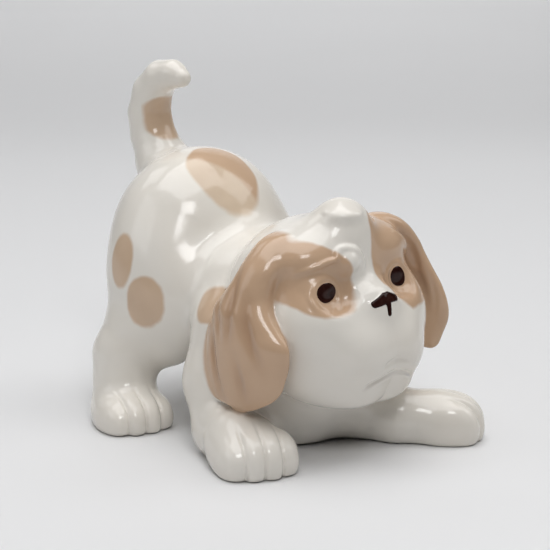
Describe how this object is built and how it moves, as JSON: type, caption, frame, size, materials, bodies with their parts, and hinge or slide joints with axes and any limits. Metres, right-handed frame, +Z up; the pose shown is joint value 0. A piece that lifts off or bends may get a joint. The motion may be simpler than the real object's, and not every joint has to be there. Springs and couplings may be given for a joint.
{
  "type": "ceramic dog figurine",
  "caption": "Glazed ceramic puppy figurine in a play bow, chest down and tail up, white with soft beige patches; a free-standing shelf ornament.",
  "frame": {"origin": "on the floor, under the middle of the figurine's overall box", "axes": "+Z up; the dog faces -Y; its left side is towards +X"},
  "size_m": [0.0918, 0.1216, 0.1076],
  "materials": {
    "white_glaze": "gloss",
    "beige_glaze": "gloss",
    "brown_enamel": "gloss"
  },
  "bodies": {
    "root": {"torso_shell": "white_glaze", "head_shell": "white_glaze", "left_ear": "beige_glaze", "right_ear": "beige_glaze", "tail": "white_glaze", "left_front_leg": "white_glaze", "right_front_leg": "white_glaze", "left_hind_leg": "white_glaze", "right_hind_leg": "white_glaze", "nose": "brown_enamel", "left_eye": "brown_enamel", "right_eye": "brown_enamel"}
  },
  "joints": []
}
